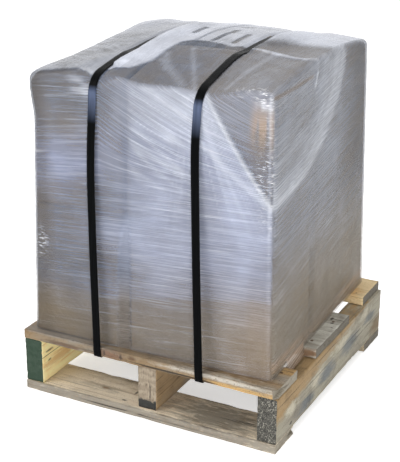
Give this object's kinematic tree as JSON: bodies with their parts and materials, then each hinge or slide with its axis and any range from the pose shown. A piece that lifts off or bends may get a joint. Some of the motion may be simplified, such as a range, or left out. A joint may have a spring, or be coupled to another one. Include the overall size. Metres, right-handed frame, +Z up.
{
  "type": "stretch wrapped pallet load",
  "caption": "Cartons stacked on a small two-way wooden stringer pallet, wound in clear stretch film and tied to the deck with black plastic straps.",
  "frame": {"origin": "on the floor under the middle of the pallet", "axes": "+Z up, +X along the deck boards, +Y along the stringers from the front of the load to its back"},
  "size_m": [0.525, 0.5355, 0.6624],
  "materials": {
    "pallet_timber": "weathered sawn softwood",
    "carton_board": "brown kraft corrugated board",
    "stretch_film": "clear wrinkled stretch film",
    "strap": "smooth black plastic strapping"
  },
  "bodies": {
    "root": {"stringer_left": "pallet_timber", "stringer_middle": "pallet_timber", "stringer_right": "pallet_timber", "top_board_front": "pallet_timber", "top_board_middle": "pallet_timber", "top_board_back": "pallet_timber", "bottom_board_front": "pallet_timber", "bottom_board_back": "pallet_timber", "carton_lower_front_left": "carton_board", "carton_lower_front_right": "carton_board", "carton_lower_back_right": "carton_board", "carton_lower_back_left": "carton_board", "carton_upper_front_left": "carton_board", "carton_upper_front_right": "carton_board", "carton_upper_back_right": "carton_board", "carton_upper_back_left": "carton_board", "stretch_film": "stretch_film", "strap_left": "strap", "strap_right": "strap"}
  },
  "joints": []
}
